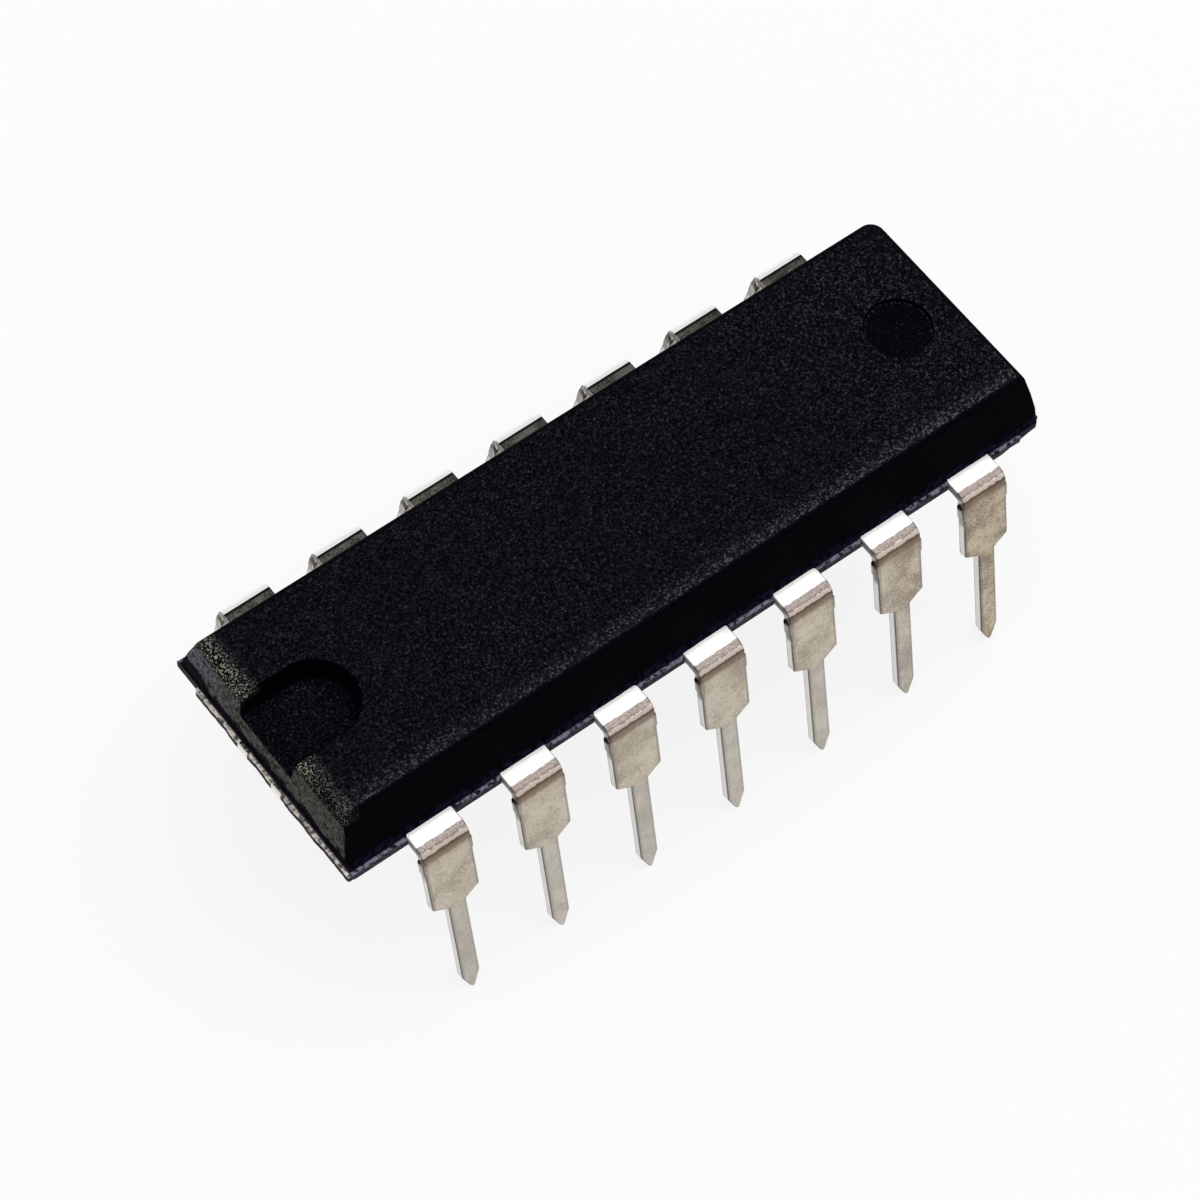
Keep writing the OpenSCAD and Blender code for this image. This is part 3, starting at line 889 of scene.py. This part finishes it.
def body_outlines():
    """Every outline from the top face down to the underside."""
    sides = wall_profile(SIDE_INSET, 0)
    upper_ends = wall_profile(END_INSET, END_LAND)
    lower_ends = wall_profile(UNDER_END_INSET, 0)
    stack = []
    for (end_in, end_h), (side_in, side_h) in reversed(list(zip(upper_ends, sides))):
        broken = BROKEN_CORNER_R if end_h > 0 else CORNER_R
        stack.append(outline(end_in, side_in, LEAD_TOP + end_h, LEAD_TOP + side_h, CORNER_R, broken))
    narrow = FLASH - FLASH_EDGE
    for drop, out in ((0, narrow), (FLASH_EDGE, FLASH), (STRIP_T - FLASH_EDGE, FLASH), (STRIP_T, narrow)):
        level = LEAD_TOP - drop
        stack.append(ragged(outline(-out, -out, level, level, FLASH_CORNER_R, FLASH_CORNER_R)))
    low = LEAD_TOP - STRIP_T
    for (end_in, end_h), (side_in, side_h) in zip(lower_ends, sides):
        stack.append(outline(end_in, side_in, low - end_h, low - side_h, CORNER_R, CORNER_R))
    return stack


outlines = body_outlines()
print("body outlines:", len(outlines))

# %% [markdown]
# A bmesh takes the points in millimetres and is scaled to metres at the end. Its normals are then worked
# out again, so that all faces point outwards, and smooth shading lets the round edges look round.

# %% Join the outlines into the body


def new_piece(name, build, material):
    """An object from a function that fills a bmesh in millimetres."""
    shape = bmesh.new()
    build(shape)
    bmesh.ops.scale(shape, vec=(MM, MM, MM), verts=shape.verts)
    bmesh.ops.recalc_face_normals(shape, faces=shape.faces)
    mesh = bpy.data.meshes.new(name)
    shape.to_mesh(mesh)
    shape.free()
    mesh.shade_smooth()
    mesh.materials.append(material)
    piece = bpy.data.objects.new(name, mesh)
    bpy.context.scene.collection.objects.link(piece)
    return piece


def join_outlines(shape, stack):
    """Quads between neighbouring outlines, and a flat face on the first and the last."""
    rings = [[shape.verts.new(point) for point in points] for points in stack]
    for upper, lower in zip(rings, rings[1:]):
        for k in range(len(upper)):
            after = (k + 1) % len(upper)
            shape.faces.new((upper[k], upper[after], lower[after], lower[k]))
    shape.faces.new(rings[0])
    shape.faces.new(reversed(rings[-1]))


body = new_piece("body_casting", lambda shape: join_outlines(shape, outlines), COMPOUND)
print("body faces:", len(body.data.polygons))

# %% [markdown]
# The notch that marks the lead 1 end and the shallow marks of the ejector pins are cut out of the block with
# the Boolean modifier, because they meet it at clean edges. Each cutting shape flares a little where it
# leaves the block, which rounds the edge that it cuts, and it has a small fillet round its floor.

# %% Shapes that cut
NOTCH_R = 1.04
NOTCH_IN = 1.38
NOTCH_DEPTH = 0.65
NOTCH_LEAN = 0.08
NOTCH_FILLET = 0.09
NOTCH_STEPS = 40
EJECTOR_DEPTH = 0.1
EJECTOR_FILLET = 0.03
EJECTOR_STEPS = 72
CUTTER_REACH = 0.5
CUT_EDGE = 0.025
ABOVE_FACE = 0.002
ROUND_STEPS = 4


def cut_profile(radius, depth, lean, fillet):
    """Radius and height of a cutting shape, from above the face down to its floor."""
    levels = [(radius + CUT_EDGE, CUTTER_REACH), (radius + CUT_EDGE, ABOVE_FACE)]
    for step in range(1, ROUND_STEPS + 1):
        turn = math.pi / 2 * step / ROUND_STEPS
        levels.append((radius + CUT_EDGE * (1 - math.sin(turn)), -CUT_EDGE * (1 - math.cos(turn))))
    for step in range(ROUND_STEPS + 1):
        turn = math.pi / 2 * step / ROUND_STEPS
        inward = lean + fillet * (1 - math.cos(turn))
        levels.append((radius - inward, -depth + fillet * (1 - math.sin(turn))))
    return levels


def notch_outline(radius, z):
    """A half circle round the inner end and two straight sides that leave the body at its end."""
    centre = -END_X + NOTCH_IN
    arc = []
    for step in range(NOTCH_STEPS + 1):
        turn = -math.pi / 2 + math.pi * step / NOTCH_STEPS
        arc.append((centre + radius * math.cos(turn), radius * math.sin(turn), z))
    return arc + [(-END_X - CUTTER_REACH, radius, z), (-END_X - CUTTER_REACH, -radius, z)]


def notch_cutter(shape):
    levels = cut_profile(NOTCH_R, NOTCH_DEPTH, NOTCH_LEAN, NOTCH_FILLET)
    join_outlines(shape, [notch_outline(radius, BODY_TOP + z) for radius, z in levels])


def ejector_cutter(x, face_z, outward):
    """A shallow round cutter in a face that looks up (outward 1) or down (outward -1)."""
    def build(shape):
        turns = [2 * math.pi * step / EJECTOR_STEPS for step in range(EJECTOR_STEPS)]
        rings = []
        for radius, z in cut_profile(EJECTOR_R, EJECTOR_DEPTH, 0.0, EJECTOR_FILLET):
            level = face_z + outward * z
            rings.append([(x + radius * math.cos(t), radius * math.sin(t), level) for t in turns])
        join_outlines(shape, rings)
    return build


print("levels of a cutting shape:", len(cut_profile(NOTCH_R, NOTCH_DEPTH, NOTCH_LEAN, NOTCH_FILLET)))

# %% [markdown]
# The Boolean modifiers look at the cutters until they are applied. After that the body keeps the cut mesh as
# its own, and the cutters are removed. The mark on top lies near the end with leads 7 and 8, and the
# underside has one mark near each end.

# %% Cut the notch and the ejector marks


def cut_out(piece, name, build):
    cutter = new_piece(name, build, COMPOUND)
    tool = piece.modifiers.new(name, "BOOLEAN")
    tool.operation = "DIFFERENCE"
    tool.solver = "EXACT"
    tool.object = cutter
    return cutter


def apply_modifiers(piece):
    """Gives a piece what its modifiers make of it as its own mesh."""
    graph = bpy.context.evaluated_depsgraph_get()
    made = bpy.data.meshes.new_from_object(piece.evaluated_get(graph))
    piece.modifiers.clear()
    piece.data = made


cutters = [
    cut_out(body, "cut_notch", notch_cutter),
    cut_out(body, "cut_ejector_top", ejector_cutter(MARK_X, BODY_TOP, 1)),
    cut_out(body, "cut_ejector_under_1", ejector_cutter(MARK_X, BODY_UNDER, -1)),
    cut_out(body, "cut_ejector_under_2", ejector_cutter(-MARK_X, BODY_UNDER, -1)),
]
apply_modifiers(body)
for cutter in cutters:
    bpy.data.objects.remove(cutter)
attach(body, "root")
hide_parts("moulded_body")
print("body faces after the cuts:", len(body.data.polygons))

# %% [markdown]
# A lead is a flat strip, bent once. It is easiest to draw it unrolled: at each distance along the strip a
# rounded rectangle gives its width and thickness, and one function then bends every point round the corner.
# The strip is wide down to its shoulder, with a short stub of the cut bar on each side, tapers to the pin,
# and ends in a point.

# %% Widths along the strip
LEG_LEN = 5.49
WIDE_LEN = 2.07
TAPER_LEN = 0.24
TIP_LEN = 0.45
TIP_W = 0.12
STUB_FROM = 0.36
STUB_LEN = 0.4
STUB_PROUD = 0.03
STUB_SLOPE = 0.02
ROOT_Y = 2.6
BEFORE_BEND = (-0.3, -0.1)
ON_SHOULDER = (1.2, 1.65)
STRAIGHT_FROM = 0.2
BEND_STEPS = 10
PIN_STEPS = 6

# Short steps that round the corners of the strip's outline
EASE = 0.03
SHOULDER_EASE = 0.012
TAPER_EASE = 0.02
PIN_EASE = 0.005
TIP_EASE = 0.04
TIP_WIDER = 0.01
TIP_NARROWER = 0.03


def stations():
    """Distance along the strip and half width there, from inside the body to the tip."""
    wide, pin, tip = SHOULDER_W / 2, PIN_W / 2, TIP_W / 2
    stub = wide + STUB_PROUD
    stub_to = STUB_FROM + STUB_LEN
    pin_from = WIDE_LEN + TAPER_LEN
    pin_to = LEG_LEN - TIP_LEN
    straight = pin_from + STRAIGHT_FROM
    inside = [(along, wide) for along in (ROOT_Y - BEND_Y, *BEFORE_BEND)]
    bend = [(BEND_LEN * k / BEND_STEPS, wide) for k in range(BEND_STEPS + 1)]
    leg = [(STUB_FROM, wide), (STUB_FROM + STUB_SLOPE, stub), (stub_to - STUB_SLOPE, stub), (stub_to, wide)]
    leg += [(along, wide) for along in (*ON_SHOULDER, WIDE_LEN - EASE)]
    leg += [(WIDE_LEN, wide - SHOULDER_EASE)]
    leg += [(pin_from - TAPER_EASE, pin + TAPER_EASE), (pin_from + EASE, pin)]
    leg += [(straight + (pin_to - straight) * k / PIN_STEPS, pin) for k in range(PIN_STEPS + 1)]
    leg += [(pin_to + EASE, pin - PIN_EASE)]
    leg += [(LEG_LEN - TIP_EASE, tip + TIP_WIDER), (LEG_LEN, tip - TIP_NARROWER)]
    corner = BEND_LEN - BEND_TANGENT
    return inside + bend + [(corner + along, half) for along, half in leg]


print("stations along a lead:", len(stations()))

# %% [markdown]
# The edges of the strip are rounded by its tin. The points of a section lie in the same order at every
# station, so the same function that joined the outlines of the body joins these as well.

# %% Section and bend of the strip
LEAD_EDGE = 0.045
MOST_EDGE = 0.6
EDGE_TURNS = 3
ACROSS_STEPS = 6


def strip_section(half):
    """Sideways place and depth of the points round the strip, its edges rounded."""
    edge = min(LEAD_EDGE, half * MOST_EDGE)
    reach = half - edge
    corners = [(reach, edge, 0), (reach, STRIP_T - edge, 90)]
    corners += [(-reach, STRIP_T - edge, 180), (-reach, edge, 270)]
    points = []
    for index, (across, depth, start) in enumerate(corners):
        for step in range(EDGE_TURNS + 1):
            turn = math.radians(start + 90 * step / EDGE_TURNS)
            points.append((across + edge * math.sin(turn), depth - edge * math.cos(turn)))
        if index % 2 == 1:
            sign, face = (-1, STRIP_T) if index == 1 else (1, 0.0)
            for step in range(1, ACROSS_STEPS):
                points.append((sign * reach * (2 * step / ACROSS_STEPS - 1), face))
    return points


def bent(along, across, depth):
    """Place of a point on the unrolled strip: distance past the start of the bend, sideways, and depth."""
    if along < 0:
        return (across, -BEND_Y - along, LEAD_TOP - depth)
    turn = min(along / BEND_OUT_R, BEND_TURN)
    radius = BEND_OUT_R - depth
    y = -BEND_Y - radius * math.sin(turn)
    z = LEAD_TOP - BEND_OUT_R + radius * math.cos(turn)
    rest = max(0.0, along - BEND_LEN)
    return (across, y - rest * math.sin(LEG_LEAN), z - rest * math.cos(LEG_LEAN))


def lead_shape(shape):
    rings = []
    for along, half in stations():
        rings.append([bent(along, across, depth) for across, depth in strip_section(half)])
    join_outlines(shape, rings)


lead_pattern = new_piece("lead_pattern", lead_shape, TIN)
print("one lead has", len(lead_pattern.data.polygons), "faces")
print("it stands on", round(min(v.co.z for v in lead_pattern.data.vertices) / MM, 4))

# %% [markdown]
# Fourteen leads repeat one shape, which is work for Geometry Nodes. A line of points at the lead pitch gets
# one lead each, the row is turned half round for the other side, and a little noise moves the surface by a
# few thousandths of a millimetre, so that no two leads shine quite alike.

# %% Tree that sets out the rows
ROW_INPUTS = {
    "Lead": "NodeSocketObject", "Leads per row": "NodeSocketInt", "Pitch": "NodeSocketFloat",
    "Unevenness": "NodeSocketFloat", "Finish": "NodeSocketMaterial",
}
HALF_TURN = (0, 0, math.pi)
MIDDLE_GREY = (0.5, 0.5, 0.5)
UNEVEN_PER_MM = 1.4


def row_tree():
    tree = bpy.data.node_groups.new("lead_rows", "GeometryNodeTree")
    for name, kind in ROW_INPUTS.items():
        tree.interface.new_socket(name=name, in_out="INPUT", socket_type=kind)
    tree.interface.new_socket(name="Leads", in_out="OUTPUT", socket_type="NodeSocketGeometry")

    def add(kind, options=None, at=None, **named):
        return add_node(tree, kind, options, at, **named).outputs

    # A line of points from half a row to the left, one step of the pitch each
    given = add("NodeGroupInput")
    less_one = add("ShaderNodeMath", {"operation": "SUBTRACT"}, at={0: given["Leads per row"], 1: 1.0})
    row_len = add("ShaderNodeMath", {"operation": "MULTIPLY"}, at={0: less_one[0], 1: given["Pitch"]})
    first_x = add("ShaderNodeMath", {"operation": "MULTIPLY"}, at={0: row_len[0], 1: -0.5})
    start = add("ShaderNodeCombineXYZ", X=first_x[0])
    step = add("ShaderNodeCombineXYZ", X=given["Pitch"])
    line = add("GeometryNodeMeshLine", Count=given["Leads per row"], Start_Location=start[0], Offset=step[0])

    # One lead on each point, and the same row turned for the back
    one = add("GeometryNodeObjectInfo", Object=given["Lead"])
    front = add("GeometryNodeInstanceOnPoints", Points=line[0], Instance=one["Geometry"])
    back = add("GeometryNodeTransform", Geometry=front[0], Rotation=HALF_TURN)
    both = add_node(tree, "GeometryNodeJoinGeometry", Geometry=back[0])
    fill(tree, both.inputs["Geometry"], front[0])
    real = add("GeometryNodeRealizeInstances", Geometry=both.outputs[0])

    # A small push by noise, then the finish
    place = add("GeometryNodeInputPosition")
    wave = add(
        "ShaderNodeTexNoise", {"noise_dimensions": "3D"},
        Vector=place[0], Scale=UNEVEN_PER_MM / MM, Detail=1.0,
    )
    centred = add("ShaderNodeVectorMath", {"operation": "SUBTRACT"}, at={0: wave["Color"], 1: MIDDLE_GREY})
    push = add("ShaderNodeVectorMath", {"operation": "SCALE"}, at={0: centred[0]}, Scale=given["Unevenness"])
    moved = add("GeometryNodeSetPosition", Geometry=real[0], Offset=push[0])
    finished = add("GeometryNodeSetMaterial", Geometry=moved[0], Material=given["Finish"])
    add("NodeGroupOutput", Leads=finished[0])
    print("nodes in the tree:", len(tree.nodes))
    return tree


# %% [markdown]
# The tree runs on an empty object. Its modifier takes the lead, the sizes and the finish as inputs, and what
# it makes is kept as a plain mesh, which stands for the fourteen packed leads.

# %% Rows of leads
UNEVEN = 0.006


def set_inputs(modifier, values):
    """Sets a modifier's inputs by their names in the tree."""
    for item in modifier.node_group.interface.items_tree:
        if item.item_type == "SOCKET" and item.in_out == "INPUT":
            modifier[item.identifier] = values[item.name]


leads = bpy.data.objects.new("leads", bpy.data.meshes.new("leads"))
bpy.context.scene.collection.objects.link(leads)
rows = leads.modifiers.new("rows", "NODES")
rows.node_group = row_tree()
set_inputs(rows, {
    "Lead": lead_pattern, "Leads per row": LEADS_PER_ROW, "Pitch": PITCH * MM,
    "Unevenness": UNEVEN * MM, "Finish": TIN,
})
apply_modifiers(leads)
bpy.data.objects.remove(lead_pattern)
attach(leads, "root")
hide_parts(*[f"lead_{n}" for n in range(1, 2 * LEADS_PER_ROW + 1)])
print("leads have", len(leads.data.polygons), "faces")

# %% [markdown]
